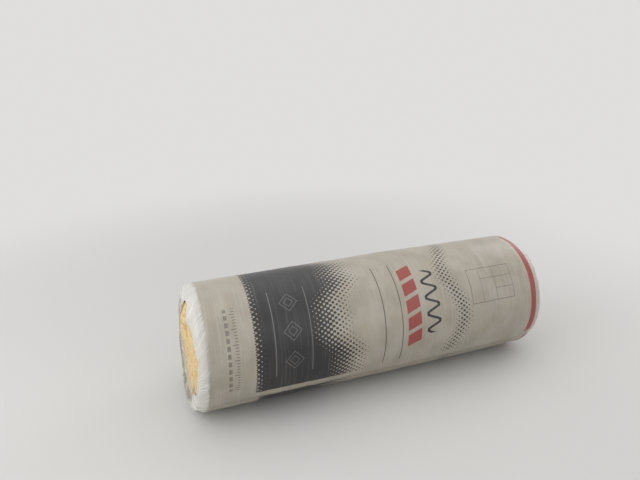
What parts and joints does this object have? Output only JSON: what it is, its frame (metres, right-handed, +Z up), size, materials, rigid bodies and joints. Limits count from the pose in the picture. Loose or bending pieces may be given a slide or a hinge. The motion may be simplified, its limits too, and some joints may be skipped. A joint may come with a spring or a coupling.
{
  "type": "insulation roll",
  "caption": "Roll of glass wool mat in a printed plastic film wrapper, lying on its side, with the wound turns showing in an open mouth at each end.",
  "frame": {"origin": "on the floor, under the middle of the roll", "axes": "+X along the roll, to the right as seen from the printed front; +Z up; the front is -Y"},
  "size_m": [1.2207, 0.3998, 0.4],
  "materials": {
    "glass_wool": "fibrous, matt",
    "printed_film": "satin film"
  },
  "bodies": {
    "root": {"wool_roll": "glass_wool", "film_wrapper": "printed_film"}
  },
  "joints": []
}
